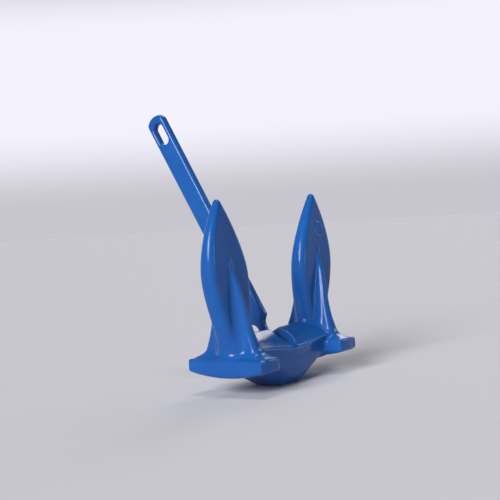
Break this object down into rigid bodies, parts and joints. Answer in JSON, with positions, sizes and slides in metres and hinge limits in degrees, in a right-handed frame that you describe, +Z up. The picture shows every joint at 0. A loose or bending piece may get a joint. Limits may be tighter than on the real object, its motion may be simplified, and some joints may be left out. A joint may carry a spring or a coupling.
{
  "type": "stockless navy anchor",
  "caption": "Vinyl-coated stockless anchor: two pointed flukes on a crown with short palms, and a flat shank that swings on a hidden pin and ends in a shackle slot.",
  "frame": {"origin": "centre of the crown's foot, the flat that the head stands on", "axes": "+Z up towards the fluke tips, X from fluke to fluke with +X to the right seen from the fore side, +Y aft, the way the shank leans at rest"},
  "size_m": [0.2646, 0.2269, 0.3412],
  "materials": {
    "blue_vinyl": "glossy dipped vinyl with a soft orange-peel surface",
    "cast_iron": "rough as-cast iron",
    "steel": "bare steel, lightly oiled"
  },
  "bodies": {
    "head": {"head_casting": "cast_iron", "head_vinyl_coat": "blue_vinyl", "crown_pin": "steel", "keeper_plate": "steel", "keeper_screw_1": "steel", "keeper_screw_2": "steel", "keeper_screw_3": "steel", "keeper_screw_4": "steel"},
    "shank": {"shank_bar": "steel", "shank_vinyl_coat": "blue_vinyl"}
  },
  "joints": [
    {"name": "shank_swing", "type": "hinge", "parent": "head", "child": "shank", "pos_m": [0, 0, 0.03802], "axis": [1, 0, 0], "range_deg": [0, 57.8]}
  ]
}
